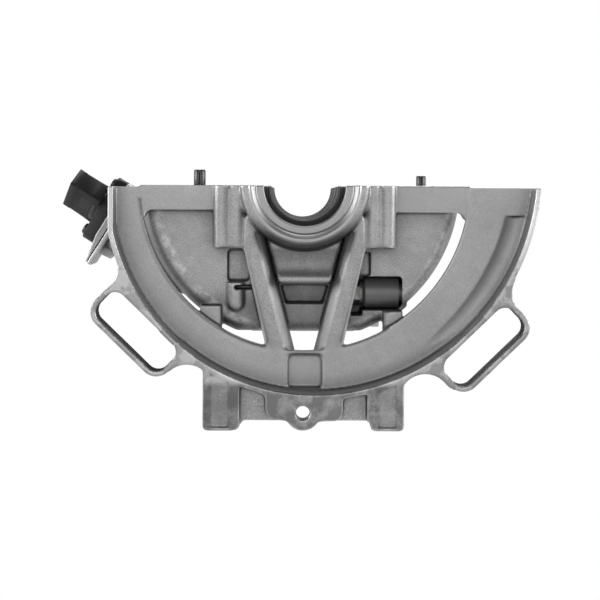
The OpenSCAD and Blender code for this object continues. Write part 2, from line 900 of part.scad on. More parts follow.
// A bulkhead between the crank bays, with its half bearing and the pads of its two bolts
module bulkhead(y, low) {
    web_y = y + (saddle_len - bulkhead_t) / 2;
    difference() {
        union() {
            slab(web_y, web_y + bulkhead_t) intersection() {
                sump_outline(sump_wall);
                above(-low);
                union() {
                    below(-rail_h);
                    translate([left_rail_x + rail_w, -rail_h - 1])
                        square([right_rail_x - left_rail_x - rail_w, rail_h + 1]);
                }
            }
            slab(y, y + saddle_len) intersection() {
                union() {
                    circle(housing_r + saddle_wall);
                    for (side = [-1, 1])
                        translate([side * main_bolt_x - main_bolt_pad, -main_bolt_depth - 6])
                            square([2 * main_bolt_pad, main_bolt_depth + 6]);
                }
                below(0);
            }
        }
        along_crank(housing_r, y - 1, y + saddle_len + 1);
        for (side = [-1, 1])
            translate([side * main_bolt_x, y + saddle_len / 2, -main_bolt_depth])
                cylinder(h = main_bolt_depth + 1, r = main_bolt_r);
    }
}

module bulkhead_1() color("silver") {
    bulkhead(saddle_first_y, bulkhead_low);
    // Nose that reaches forward to the seal hub, with flat sides
    slab(nose_y, saddle_first_y) intersection() {
        difference() {
            circle(nose_r + nose_wall);
            circle(nose_r);
        }
        translate([-nose_half_w, -big]) square([2 * nose_half_w, big]);
    }
}

module bulkhead_2() color("silver") bulkhead(saddle_first_y + saddle_pitch, bulkhead_low);

module bulkhead_3() color("silver") bulkhead(saddle_first_y + 2 * saddle_pitch, bulkhead_low);

// The rear wall closes the trough over its whole height and holds the last bearing
module rear_wall() color("silver") {
    difference() {
        union() {
            bulkhead(rear_saddle_y, big);
            // Flush rear face
            slab(rear_y - 6, rear_y) difference() {
                intersection() {
                    sump_outline(sump_wall);
                    below(-rail_h);
                }
                circle(housing_r);
            }
            slab(rear_saddle_y, rear_y) difference() {
                translate([0, pickup_z]) circle(pickup_r + 6);
                below(-sump_drop + sump_wall);
            }
        }
        translate([0, rear_saddle_y - 1, pickup_z]) rotate([-90, 0, 0])
            cylinder(h = saddle_len + 2, r = pickup_r + seat_gap);
        // Socket for the pump's inlet pipe, behind the end of the pickup tube
        translate([0, rear_y - pump_socket_len, pickup_z]) rotate([-90, 0, 0])
            cylinder(h = pump_socket_len + 1, r = pump_socket_r);
        for (side = [-1, 1])
            translate([side * main_bolt_x, rear_saddle_y + saddle_len / 2, -main_bolt_depth])
                cylinder(h = main_bolt_depth + 1, r = main_bolt_r);
        for (x = gallery_x)
            translate([x, rear_saddle_y + 4, gallery_z]) rotate([-90, 0, 0])
                cylinder(h = saddle_len, r = gallery_r + seat_gap);
    }
}
pickup_r = 8;
pickup_z = -95;
pump_socket_r = 9;
pump_socket_len = 6;
gallery_x = [-84, 84];
gallery_z = -42;
gallery_r = 6.5;

// Cast neck on the left that carries the oil sensor, with its pad and a gusset
module sensor_neck() color("silver") {
    reach = 75;
    difference() {
        union() {
            at_sensor() {
                translate([0, 0, -reach]) cylinder(h = reach - pad_t / 2, r = neck_r);
                translate([(pad_up - pad_down) / 2, 0, -pad_t / 2])
                    cube([pad_up + pad_down, pad_w, pad_t], center = true);
                for (side = [-1, 1])
                    translate([side * sensor_screw_x, 0, -sensor_boss_len])
                        cylinder(h = sensor_boss_len - pad_t / 2, r1 = 4.5, r2 = 6);
                // Gusset between the pad's lower end and the barrel
                translate([0, 4, 0]) rotate([90, 0, 0]) linear_extrude(8)
                    polygon([[0, -pad_t], [-pad_down + 15, -pad_t], [-29, -reach], [0, -reach]]);
            }
        }
        at_sensor() translate([0, 0, -reach - 1]) cylinder(h = reach + 2, r = neck_bore_r);
        for (side = [-1, 1])
            at_sensor() translate([side * sensor_screw_x, 0, -sensor_boss_len + 2])
                cylinder(h = sensor_boss_len, r = sensor_screw_r);
        slab(trough_y, rear_y) {
            sump_outline(0);
            translate([left_rail_x, -rail_h]) square([rail_w, rail_h]);
        }
    }
}
sensor_screw_r = 2.5;
sensor_boss_len = 14;

module main_bearing_shells() color("dimgray") {
    inset = 1;
    for (i = [0:3])
        translate([0, saddle_first_y + i * saddle_pitch, 0]) turned_half()
            translate([journal_r, inset]) square([shell_t, saddle_len - 2 * inset]);
}

module thrust_washers() color("darkgray") {
    t = 2.3;
    outer_r = 37;
    y = saddle_first_y + 2 * saddle_pitch;
    for (y0 = [y - t, y + saddle_len]) difference() {
        turned_half() translate([journal_r + 1, y0]) square([outer_r - journal_r - 1, t]);
        // Oil grooves of the washer
        for (a = [45, 90, 135])
            rotate([0, a, 0]) translate([0, y0 == y - t ? y0 - 0.2 : y0 + t - 0.6, -1])
                cube([big, 0.8, 2]);
    }
}

// Rolled dowel pin with its slot to the front
module dowel(x, y) {
    slot = 1.2;
    tip = 1;
    translate([x, y, -dowel_seat]) difference() {
        union() {
            cylinder(h = dowel_seat + 1, r = dowel_r - dowel_squeeze);
            translate([0, 0, dowel_seat])
                cylinder(h = dowel_proud - tip, r = dowel_r);
            translate([0, 0, dowel_seat + dowel_proud - tip])
                cylinder(h = tip, r1 = dowel_r, r2 = dowel_r - tip * 0.6);
        }
        translate([0, 0, -1]) cylinder(h = big, r = dowel_r - dowel_wall);
        translate([-slot / 2, -big, -1]) cube([slot, big, big]);
    }
}

module dowel_pins() color("dimgray") {
    dowel(-front_dowel_x, front_dowel_y);
    dowel(rear_dowel_x, rear_dowel_y);
}

// Cylinder of the oil pressure relief valve, lying across the sump's front wall
module valve_cylinder() color("dimgray") {
    oil_r = 5;
    difference() {
        union() {
            along_x(valve_r, valve_x0 + valve_shoulder, valve_x1, valve_y, -valve_drop);
            translate([valve_x0, valve_y, -valve_drop]) rotate([0, 90, 0])
                cylinder(h = valve_shoulder, r1 = valve_r - valve_shoulder, r2 = valve_r);
            along_x(valve_spigot_r, valve_x1 - 1, valve_x1 + valve_spigot_len - seat_gap,
                valve_y, -valve_drop);
        }
        along_x(valve_bore_r, valve_x0 - 1, piston_x1, valve_y, -valve_drop);
        along_x(oil_r, piston_x1 - 1, big, valve_y, -valve_drop);
        // Drain ports that the piston uncovers, at the back and below
        translate([piston_x1 - 4, valve_y, -valve_drop]) cylinder(h = 3 * valve_r, r = 2.2);
    }
}

valve_shoulder = 2.4;

module valve_piston() color("gainsboro") {
    crown = 3;
    skirt_r = 6;
    seat_clear = 0.3;
    difference() {
        along_x(
            valve_bore_r - piston_gap, piston_x1 - piston_len, piston_x1 - seat_clear,
            valve_y, -valve_drop
        );
        along_x(skirt_r, piston_x1 - piston_len - 1, piston_x1 - crown, valve_y, -valve_drop);
        // Two oil grooves round the skirt
        for (x = [4, 7.5]) translate([piston_x1 - x, valve_y, -valve_drop]) rotate([0, -90, 0])
            rotate_extrude() translate([valve_bore_r - 0.5, 0]) square([1, 1]);
    }
}

// One ring of the spring's wire section, at an angle along the coil
function coil_ring(a, pitch, r, wire, sides) = [
    for (i = [0:sides - 1])
        let (b = 360 * i / sides, rr = r + wire * cos(b))
            [pitch * a / 360 + wire * sin(b), rr * cos(a), rr * sin(a)]
];

// Coil spring drawn as one swept wire along x
module coil(length, turns, r, wire) {
    sides = 8;
    steps = 14 * turns;
    pitch = (length - 2 * wire) / turns;
    points = [
        for (k = [0:steps])
            each coil_ring(360 * k * turns / steps, pitch, r - wire, wire, sides)
    ];
    sides_faces = [
        for (k = [0:steps - 1], i = [0:sides - 1])
            let (j = (i + 1) % sides)
                [k * sides + i, k * sides + j, (k + 1) * sides + j, (k + 1) * sides + i]
    ];
    ends = [
        [for (i = [sides - 1:-1:0]) i],
        [for (i = [0:sides - 1]) steps * sides + i]
    ];
    translate([wire, 0, 0]) polyhedron(points, concat(sides_faces, ends));
}

module valve_spring() color("lightsteelblue") {
    turns = 6;
    gap = 0.3;
    x0 = valve_x0 + plug_shank + gap;
    x1 = piston_x1 - 3 - gap;
    translate([x0, valve_y, -valve_drop]) coil(x1 - x0, turns, spring_r, spring_wire_r);
}

module valve_washer() color("peru") {
    difference() {
        along_x(valve_r - valve_shoulder, valve_x0 - washer_t, valve_x0, valve_y, -valve_drop);
        along_x(valve_bore_r, valve_x0 - washer_t - 1, valve_x0 + 1, valve_y, -valve_drop);
    }
}
washer_t = 1;

module valve_plug() color("gainsboro") {
    head_len = 6;
    head_af = 17;
    face_x = valve_x0 - washer_t;
    difference() {
        union() {
            translate([face_x - head_len, valve_y, -valve_drop]) rotate([0, 90, 0])
                cylinder(h = head_len - 1, r = head_af / 2 / cos(30), $fn = 6);
            along_x(valve_r - valve_shoulder, face_x - 1, face_x, valve_y, -valve_drop);
            along_x(valve_bore_r - seat_gap, face_x - 1, valve_x0 + plug_shank, valve_y, -valve_drop);
        }
        along_x(spring_r - 3, valve_x0 + plug_shank - 3, big, valve_y, -valve_drop);
    }
}

module sensor_gasket() color("black") {
    at_sensor() difference() {
        translate([(pad_up - pad_down) / 2, 0, pad_gap / 2])
            cube([pad_up + pad_down - 3, pad_w - 3, pad_gap], center = true);
        translate([0, 0, -1]) cylinder(h = 3, r = neck_bore_r);
        for (side = [-1, 1])
            translate([side * sensor_screw_x, 0, -1]) cylinder(h = 3, r = sensor_screw_r);
    }
}

// Steel plate between the gasket and the sensor's flange
module sensor_plate() color("silver") {
    at_sensor() difference() {
        translate([(pad_up - pad_down) / 2, 0, pad_gap + plate_strip_t / 2])
            cube([pad_up + pad_down, pad_w, plate_strip_t], center = true);
        cylinder(h = 5, r = neck_bore_r);
        for (side = [-1, 1])
            translate([side * sensor_screw_x, 0, 0]) cylinder(h = 5, r = sensor_screw_r);
    }
}
flange_face = pad_gap + plate_strip_t;
connector_base = flange_face + sensor_flange_t + 9;
connector_top = 47.5;
connector_w = 32;
connector_d = 24;
connector_wall = 2.2;

// Plastic housing of the sensor: oval flange, round neck and connector shroud
module sensor_housing() color("black") {
    latch_w = 9;
    at_sensor() difference() {
        union() {
            translate([0, 0, flange_face]) linear_extrude(sensor_flange_t) {
                circle(16);
                for (side = [-1, 1]) translate([side * sensor_screw_x, 0]) circle(7.5);
                square([2 * sensor_screw_x, 15], center = true);
            }
            translate([0, 0, flange_face + sensor_flange_t - 1]) cylinder(h = 11, r = 11);
            translate([0, 0, connector_base]) linear_extrude(connector_top - connector_base)
                rounded(connector_w, connector_d, 3);
            translate([-latch_w / 2, connector_d / 2 - 1, connector_base + 5])
                cube([latch_w, 3.5, connector_top - connector_base - 8]);
            // Grip ridges on the front side
            for (x = [-11, -8, 8, 11])
                translate([x - 0.7, -connector_d / 2 - 0.8, connector_base + 4])
                    cube([1.4, 1.6, connector_top - connector_base - 9]);
        }
        translate([0, 0, connector_base + 9]) linear_extrude(big)
            rounded(connector_w - 2 * connector_wall, connector_d - 2 * connector_wall, 2);
        translate([0, 0, flange_face - 1]) cylinder(h = 6, r = probe_r + seat_gap);
        for (side = [-1, 1])
            translate([side * sensor_screw_x, 0, 0])
                cylinder(h = flange_face + sensor_flange_t + 1, r = sensor_screw_r + 0.5);
    }
}

module sensor_terminals() color("goldenrod") {
    for (x = [-6, 0, 6])
        at_sensor() translate([x, 0, connector_base + 9 + 5.5])
            cube([0.8, 2.8, 11], center = true);
}

// Metal probe tube with its collar, reaching down into the oil
module sensor_probe() color("goldenrod") {
    collar_r = neck_bore_r - 0.6;
    at_sensor() difference() {
        union() {
            translate([0, 0, -probe_len]) cylinder(h = probe_len + flange_face + 4, r = probe_r);
            translate([0, 0, -12]) cylinder(h = 12 + flange_face, r = collar_r);
        }
        // Groove of the sealing ring
        translate([0, 0, -8]) difference() {
            cylinder(h = 3, r = collar_r + 1);
            translate([0, 0, -1]) cylinder(h = 5, r = collar_r - 2);
        }
        // Oil slots near the tip
        for (a = [0, 90]) rotate([0, 0, a])
            translate([-probe_r - 1, -1.2, -probe_len + 4]) cube([2 * probe_r + 2, 2.4, 10]);
    }
}

module sensor_o_ring() color("black") {
    ring_t = 1.3;
    at_sensor() translate([0, 0, -6.5])
        rotate_extrude() translate([neck_bore_r - ring_t, 0]) circle(ring_t - 0.02, $fn = 24);
}

module sensor_screws() color("gainsboro") {
    head_h = 5;
    for (side = [-1, 1])
        at_sensor() translate([side * sensor_screw_x, 0, flange_face + sensor_flange_t]) {
            difference() {
                union() {
                    cylinder(h = head_h, r = 4.9);
                    cylinder(h = 1.2, r = 6);
                    translate([0, 0, -sensor_flange_t - flange_face - 11])
                        cylinder(h = sensor_flange_t + flange_face + 11 + 1, r = sensor_screw_r - 0.02);
                }
                translate([0, 0, head_h - 2.6]) cylinder(h = 4, r = 2.9, $fn = 6);
            }
        }
}

// Sheet that keeps the oil off the crank
module baffle_plate() color("silver") {
    half_w = 58;
    y0 = saddle_first_y + 14;
    y1 = strainer_y - pickup_r - 6;
    difference() {
        translate([-half_w, y0, baffle_z]) cube([2 * half_w, y1 - y0, baffle_t]);
        for (x = baffle_bolt_x, y = baffle_bolt_y)
            translate([x, y, baffle_z - 1]) cylinder(h = 4, r = baffle_screw_r + 0.3);
        // Drain slots in rows
        for (i = [-1:1], j = [0:3])
            translate([i * 20, y0 + 20 + j * 34, baffle_z - 1]) linear_extrude(4)
                rounded(7, 22, 3);
    }
}

module baffle_screws() color("gainsboro") {
    for (x = baffle_bolt_x, y = baffle_bolt_y)
        translate([x, y, baffle_z + baffle_t]) difference() {
            union() {
                cylinder(h = 3, r = 4.6);
                translate([0, 0, -baffle_t - 9])
                    cylinder(h = baffle_t + 10, r = baffle_screw_r - seat_gap);
            }
            translate([0, 0, 1.2]) cylinder(h = 3, r = 2.2, $fn = 6);
        }
}

// Strainer bell in the well, with its mesh bottom
strainer_y = 222;
strainer_z = -115.6;
strainer_top = -105;
module oil_strainer() color("darkgray") {
    rim_r = 27;
    difference() {
        union() {
            translate([0, strainer_y, strainer_z]) cylinder(h = 3, r = rim_r);
            translate([0, strainer_y, strainer_z + 3])
                cylinder(h = strainer_top - strainer_z - 3, r1 = rim_r - 3, r2 = pickup_r + 3);
        }
        translate([0, strainer_y, strainer_z - 1]) cylinder(h = 2, r = rim_r - 2);
        translate([0, strainer_y, strainer_z]) cylinder(h = 20, r = pickup_r - 1.5);
        for (i = [0:7]) rotate_at([0, strainer_y, strainer_z], i * 45)
            translate([16, 0, -1]) cylinder(h = 3.5, r = 3.5);
    }
}

module rotate_at(place, angle) {
    translate(place) rotate([0, 0, angle]) children();
}

// Bent path from the strainer up and back to the rear wall
module pickup_path(r, over) {
    bend_r = pickup_r + 2;
    rise = pickup_z - strainer_top;
    translate([0, strainer_y + bend_r, strainer_top + rise - bend_r])
        rotate([90, 0, 90]) rotate([0, 0, 90])
            rotate_extrude(angle = 90) translate([bend_r, 0]) circle(r);
    translate([0, strainer_y + bend_r, pickup_z]) rotate([-90, 0, 0])
        cylinder(h = rear_y - 6 - strainer_y - bend_r + over, r = r);
    translate([0, strainer_y, strainer_top - over])
        cylinder(h = rise - bend_r + over + eps, r = r);
}

module pickup_tube() color("gainsboro") {
    wall = 1.5;
    difference() {
        pickup_path(pickup_r, 0);
        pickup_path(pickup_r - wall, 1);
    }
}

module drain_washer() color("peru") {
    difference() {
        along_x(drain_boss_r - 0.5, drain_face_x, drain_face_x + 1.5, drain_y, drain_z);
        along_x(drain_r, drain_face_x - 1, drain_face_x + 3, drain_y, drain_z);
    }
}

module drain_plug() color("gainsboro") {
    head_x = drain_face_x + 1.5;
    difference() {
        union() {
            translate([head_x + 1.2, drain_y, drain_z]) rotate([0, 90, 0])
                cylinder(h = 6.8, r = 8.5 / cos(30), $fn = 6);
            along_x(drain_boss_r, head_x, head_x + 1.2, drain_y, drain_z);
            along_x(drain_r - seat_gap, drain_face_x - 10, head_x + 1, drain_y, drain_z);
        }
        along_x(3.5, drain_face_x - 11, drain_face_x - 4, drain_y, drain_z);
    }
}

module gallery_plugs() color("darkgray") {
    for (x = gallery_x)
        translate([x, rear_y - 10, gallery_z]) rotate([-90, 0, 0]) difference() {
            cylinder(h = 9, r = gallery_r);
            translate([0, 0, 4]) cylinder(h = 6, r = 3.6, $fn = 6);
        }
}

bell_flange();
left_ear_loop();
right_ear_loop();
left_joint_arm();
right_joint_arm();
seal_hub();
v_struts();
support_foot();
bell_ribs();
sump_front_wall();
sump_trough();
left_rail();
right_rail();
bulkhead_1();
bulkhead_2();
bulkhead_3();
rear_wall();
sensor_neck();
main_bearing_shells();
thrust_washers();
dowel_pins();
valve_cylinder();
valve_piston();
valve_spring();
valve_washer();
valve_plug();
sensor_gasket();
sensor_plate();
sensor_housing();
sensor_terminals();
sensor_probe();
sensor_o_ring();
sensor_screws();
baffle_plate();
baffle_screws();
oil_strainer();
pickup_tube();
drain_washer();
drain_plug();
gallery_plugs();
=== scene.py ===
import math
import bmesh
import bpy
import numpy as np
from mathutils import Matrix, Vector


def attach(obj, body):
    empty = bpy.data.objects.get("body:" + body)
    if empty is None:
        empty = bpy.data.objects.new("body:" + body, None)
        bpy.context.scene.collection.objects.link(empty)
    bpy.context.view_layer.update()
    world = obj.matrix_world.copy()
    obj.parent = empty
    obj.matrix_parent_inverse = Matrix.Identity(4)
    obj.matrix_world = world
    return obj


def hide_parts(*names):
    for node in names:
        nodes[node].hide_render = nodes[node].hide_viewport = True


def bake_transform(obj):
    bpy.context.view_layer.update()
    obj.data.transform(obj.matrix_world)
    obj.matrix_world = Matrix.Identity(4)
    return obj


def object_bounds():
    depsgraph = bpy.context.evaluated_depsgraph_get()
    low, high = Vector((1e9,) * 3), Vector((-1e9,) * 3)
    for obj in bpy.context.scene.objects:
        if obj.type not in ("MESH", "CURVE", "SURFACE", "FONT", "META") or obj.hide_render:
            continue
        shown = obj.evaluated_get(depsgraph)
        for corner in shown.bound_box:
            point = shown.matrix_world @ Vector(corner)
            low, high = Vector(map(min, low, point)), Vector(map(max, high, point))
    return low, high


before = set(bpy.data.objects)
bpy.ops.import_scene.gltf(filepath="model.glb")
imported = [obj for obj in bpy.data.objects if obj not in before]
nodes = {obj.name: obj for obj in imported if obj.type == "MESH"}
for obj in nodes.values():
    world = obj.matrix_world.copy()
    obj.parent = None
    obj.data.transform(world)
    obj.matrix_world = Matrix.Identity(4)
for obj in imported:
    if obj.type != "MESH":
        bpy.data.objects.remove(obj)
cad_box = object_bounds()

mm = 0.001

# The view: the part stands on its foot and is seen square on from the flywheel side, from just
# under the joint face. The frame is shifted so that the crank axis lies above its middle.
view_distance = 1100 * mm
view_place = Vector((-9 * mm, -view_distance, -11.1 * mm))
view_width = 450 * mm
lens_sensor = 36
frame_size = 600
across_shift = 7 / frame_size
down_shift = -100 / frame_size
lens_roll = math.radians(-0.25)
camera_data = bpy.data.cameras.new("view")
camera_data.sensor_width = lens_sensor
camera_data.lens = lens_sensor * view_distance / view_width
camera_data.shift_x = across_shift
camera_data.shift_y = down_shift
camera_data.clip_end = 20
camera = bpy.data.objects.new("view", camera_data)
camera.location = view_place
camera.rotation_euler = (math.radians(90), lens_roll, 0)
bpy.context.scene.collection.objects.link(camera)
bpy.context.scene.camera = camera
bpy.context.scene.view_settings.view_transform = "Standard"


# The studio: a bowl of white paper under and round the part, a large soft box over the camera, one
# on each side, one on top and one behind, and a dim room, so that walls seen edge on stay dark.
class Shade:
    """A socket of a finish's nodes, so that its maths reads as plain expressions."""

    def __init__(self, tree, socket=None):
        self.tree = tree
        self.socket = socket

    def add(self, kind, settings=None, inputs=None, output=0):
        """Adds a node of this kind, with its settings first, then the values or links of its sockets."""
        node = self.tree.nodes.new(kind)
        for name, value in (settings or {}).items():
            setattr(node, name, value)
        for name, value in (inputs or {}).items():
            if isinstance(value, Shade):
                self.tree.links.new(value.socket, node.inputs[name])
            else:
                node.inputs[name].default_value = value
        return Shade(self.tree, node.outputs[output] if node.outputs else None)

    def maths(self, operation, *others):
        values = dict(enumerate((self, *others)))
        return self.add("ShaderNodeMath", {"operation": operation}, values)

    def __add__(self, other):
        return self.maths("ADD", other)

    __radd__ = __add__

    def __mul__(self, other):
        return self.maths("MULTIPLY", other)

    __rmul__ = __mul__

    def __sub__(self, other):
        return self.maths("SUBTRACT", other)

    def __rsub__(self, other):
        return self.maths("MULTIPLY_ADD", -1, other)

    def step(self, low, high):
        """0 below low and 1 above high, and the other way round where low is the larger."""
        settings = {"interpolation_type": "SMOOTHSTEP"}
        names = {"Value": self, "From Min": low, "From Max": high}
        return self.add("ShaderNodeMapRange", settings, names)

    def mix(self, first, second):
        """The first colour where this value is 0 and the second where it is 1."""
        settings = {"data_type": "RGBA"}
        return self.add("ShaderNodeMix", settings, {0: self, 6: first, 7: second}, output=2)

    def noise(self, scale, detail=4, rough=0.5):
        """Cloudy values round 0.5 at this many per metre, laid through the part's own space."""
        place = self.add("ShaderNodeTexCoord", output=3)
        values = {"Vector": place, "Scale": scale, "Detail": detail, "Roughness": rough}
        return self.add("ShaderNodeTexNoise", None, values)


def fresh_material(name):
    material = bpy.data.materials.new(name)
    material.use_nodes = True
    material.node_tree.nodes.clear()
    return material, Shade(material.node_tree)


def grey(tone, warm=0.0):
    return (tone * (1 + warm), tone, tone * (1 - warm), 1)


paper_tone = 0.4
room_tone = 0.06
paper, sheet = fresh_material("white_paper")
paper_matt = sheet.add("ShaderNodeBsdfDiffuse", None, {"Color": grey(paper_tone)})
paper_white = sheet.add("ShaderNodeEmission", None, {"Color": grey(1), "Strength": 1.0})
seen = sheet.add("ShaderNodeLightPath", output="Is Camera Ray")
mirrored = sheet.add("ShaderNodeLightPath", output="Is Glossy Ray")
passed = sheet.add("ShaderNodeLightPath", output="Is Transmission Ray")
direct = (seen + mirrored + passed).maths("MINIMUM", 1.0)
paper_mix = sheet.add("ShaderNodeMixShader", None, {0: direct, 1: paper_matt, 2: paper_white})
sheet.add("ShaderNodeOutputMaterial", None, {"Surface": paper_mix})

floor_level = cad_box[0].z
floor_middle = 0.02
floor_radius = 2.8
wall_radius = 3.6
wall_top = 1.1
bend_size = wall_radius - floor_radius
bend_steps = 8
bowl_steps = 48
profile = [(floor_middle, floor_level), (floor_radius, floor_level)]
for turn in range(1, bend_steps + 1):
    angle = math.radians(90 * turn / bend_steps)
    out = floor_radius + bend_size * math.sin(angle)
    profile.append((out, floor_level + bend_size * (1 - math.cos(angle))))
profile.append((wall_radius, wall_top))
bowl = bmesh.new()
rows = []
for step in range(bowl_steps):
    angle = math.tau * step / bowl_steps
    rows.append([
        bowl.verts.new((out * math.cos(angle), out * math.sin(angle), z)) for out, z in profile
    ])
for near, far in zip(rows, rows[1:] + rows[:1]):
    for k in range(len(profile) - 1):
        bowl.faces.new((near[k], far[k], far[k + 1], near[k + 1])).smooth = True
bowl.faces.new([row[0] for row in rows])
bowl_mesh = bpy.data.meshes.new("paper_bowl")
bowl.to_mesh(bowl_mesh)
paper_bowl = bpy.data.objects.new("paper_bowl", bowl_mesh)
paper_bowl.data.materials.append(paper)
bpy.context.scene.collection.objects.link(paper_bowl)


def soft_box(name, place, target, wide, high, power):
    lamp = bpy.data.lights.new(name, "AREA")
    lamp.shape = "RECTANGLE"
    lamp.size = wide
    lamp.size_y = high
    lamp.energy = power
    box = bpy.data.objects.new(name, lamp)
    box.location = place
    box.rotation_euler = (Vector(target) - Vector(place)).to_track_quat("-Z", "Y").to_euler()
    box.visible_camera = False
    bpy.context.scene.collection.objects.link(box)


part_middle = (0, 0.15, -0.06)
soft_box("front_box", (-0.15, -2.4, 0.6), (0, 0, -0.08), 1.5, 1.1, 15)
soft_box("left_box", (-1.8, -0.2, 0.4), part_middle, 0.8, 0.8, 24)
soft_box("right_box", (1.8, -0.2, 0.4), part_middle, 0.8, 0.8, 24)
soft_box("top_box", (0, 0.7, 1.8), part_middle, 0.9, 0.9, 14)
soft_box("back_box", (0.5, 1.9, 1.5), (0, 0.2, -0.06), 0.9, 0.9, 18)
world = bpy.data.worlds.new("room")
world.use_nodes = True
world.node_tree.nodes["Background"].inputs["Color"].default_value = grey(room_tone)
bpy.context.scene.world = world


# The casting: one aluminium alloy die casting with a flywheel bell, sump, bearing webs and foot.
# Its skin is sand-rough and mottled, and the joint face, bell face, bores and foot are machined.
casting_names = [
    "bell_flange", "left_ear_loop", "right_ear_loop", "left_joint_arm", "right_joint_arm",
    "seal_hub", "v_struts", "support_foot", "bell_ribs", "sump_front_wall", "sump_trough",
    "left_rail", "right_rail", "bulkhead_1", "bulkhead_2", "bulkhead_3", "rear_wall",
    "sensor_neck",
]
casting_grain = 0.8 * mm
joined = bmesh.new()
for name in casting_names:
    joined.from_mesh(nodes[name].data)
rough_mesh = bpy.data.meshes.new("rough_casting")
joined.to_mesh(rough_mesh)
rough_casting = bpy.data.objects.new("rough_casting", rough_mesh)
bpy.context.scene.collection.objects.link(rough_casting)
fuse = rough_casting.modifiers.new("fuse", "REMESH")
fuse.mode = "VOXEL"
fuse.voxel_size = casting_grain
fuse.use_smooth_shade = True
soften = rough_casting.modifiers.new("soften", "SMOOTH")
soften.factor = 0.5
soften.iterations = 5
poured = rough_casting.evaluated_get(bpy.context.evaluated_depsgraph_get())
casting_mesh = bpy.data.meshes.new_from_object(poured)
bpy.data.objects.remove(rough_casting)

# The struts and towers are cast with wide fillets, so their points drift to the middle of their
# neighbours. The rest of the casting, from its joint face to its foot, keeps its shape.
count = len(casting_mesh.vertices)
points = np.empty(3 * count, dtype=np.float32)
casting_mesh.vertices.foreach_get("co", points)
points = points.reshape(count, 3).astype(float)
pairs = np.empty(2 * len(casting_mesh.edges), dtype=np.int32)
casting_mesh.edges.foreach_get("vertices", pairs)
pairs = pairs.reshape(-1, 2)
here = np.concatenate((pairs[:, 0], pairs[:, 1]))
there = np.concatenate((pairs[:, 1], pairs[:, 0]))
links = np.bincount(here, minlength=count)


def ramp(values, low, high):
    """0 at low, 1 at high and straight between them."""
    return np.clip((values - low) / (high - low), 0, 1)


across, along, up = (points / mm).T
soft_zone = ramp(np.hypot(across, up), 44, 48) * ramp(np.abs(across), 66, 62) * ramp(up, -132, -127)
soft_zone = soft_zone * ramp(along, 23.5, 21.5) * ramp(up, -1, -5)
soft_rounds = 30
soft_points = np.flatnonzero(soft_zone)
soft_links = np.flatnonzero(soft_zone[here])
soft_here = here[soft_links]
soft_there = there[soft_links]
for _ in range(soft_rounds):
    summed = np.stack([
        np.bincount(soft_here, weights=points[soft_there, k], minlength=count) for k in range(3)
    ], axis=1)
    drift = summed[soft_points] / links[soft_points, None] - points[soft_points]
    points[soft_points] += 0.5 * soft_zone[soft_points, None] * drift

# The walls of the loops' openings and their outer sides are smooth, so the grain's steps are
# pressed out of them: each point goes to the rounded rectangle that it lies next to.
loops = ((-126.4, -110.2, -44), (134.7, -120.7, 44))
loop_long = 69
loop_wide = 26
loop_corner = 9
loop_wall = 3.8
loop_back = 17.5
press_reach = 0.5
plain = np.zeros(count)
for middle_x, middle_z, slope in loops:
    cos, sin = math.cos(math.radians(slope)), math.sin(math.radians(slope))
    right, rise = across - middle_x, up - middle_z
    ahead, aside = right * cos + rise * sin, rise * cos - right * sin
    past_ahead = np.maximum(np.abs(ahead) - (loop_long / 2 - loop_corner), 0) * np.sign(ahead)
    past_aside = np.maximum(np.abs(aside) - (loop_wide / 2 - loop_corner), 0) * np.sign(aside)
    reach = np.maximum(np.hypot(past_ahead, past_aside), 0.001)
    for wall in (loop_corner, loop_corner + loop_wall):
        beside = (np.abs(reach - wall) < press_reach) & (along < loop_back)
        press = np.where(beside, wall / reach - 1, 0) * mm
        points[:, 0] += press * (past_ahead * cos - past_aside * sin)
        points[:, 2] += press * (past_ahead * sin + past_aside * cos)
    plain = np.maximum(plain, ramp(reach, 15.5, 14) * ramp(along, 20, 18))
casting_mesh.vertices.foreach_set("co", points.astype(np.float32).ravel())
casting_mesh.update()

# Each point notes how far it stands out of its neighbours: edges above 0, inside corners below.
# The finish lightens the edges as rubbed metal and as painted highlight, and darkens the inside
# corners as painted shade.
normals = np.empty(3 * count, dtype=np.float32)
casting_mesh.vertex_normals.foreach_get("vector", normals)
normals = normals.reshape(count, 3)
middle = np.stack([
    np.bincount(here, weights=points[there, k], minlength=count) / links for k in range(3)
], axis=1)
bend = np.einsum("ij,ij->i", normals, points - middle) / casting_grain
for _ in range(2):
    bend = 0.5 * bend + 0.5 * np.bincount(here, weights=bend[there], minlength=count) / links
bend = bend * (1 - 0.85 * plain)
bend_wear_and_shade = casting_mesh.attributes.new("bend_wear_and_shade", "FLOAT", "POINT")
bend_wear_and_shade.data.foreach_set("value", bend.astype(np.float32))

casting = bpy.data.objects.new("casting", casting_mesh)
bpy.context.scene.collection.objects.link(casting)
thin_out = casting.modifiers.new("thin_out", "DECIMATE")
thin_out.ratio = 0.25
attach(casting, "case")
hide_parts(*casting_names)

# Tones of the milled rim and loops at left and right, whose difference is painted light, and of the
# skin, the foot and the seal's seat
rim_left = 0.50
rim_right = 0.59
loop_left = 0.40
loop_right = 0.36
skin_tone = 0.33
foot_tone = 0.20
seat_tone = 0.34
alloy, skin = fresh_material("cast_alloy")
place = skin.add("ShaderNodeTexCoord", output=3)
side = skin.add("ShaderNodeSeparateXYZ", None, {0: place})
deep = skin.add("ShaderNodeSeparateXYZ", None, {0: place}, output=1)
high = skin.add("ShaderNodeSeparateXYZ", None, {0: place}, output=2)
stands_out = skin.add("ShaderNodeAttribute", {"attribute_name": "bend_wear_and_shade"}, output=2)
edges = stands_out.step(0.03, 0.10)
creases = stands_out.step(-0.03, -0.10)
hollow_reach = {"Distance": 16 * mm}
open_air = skin.add(
    "ShaderNodeAmbientOcclusion", {"samples": 6, "only_local": True}, hollow_reach, output=1
)

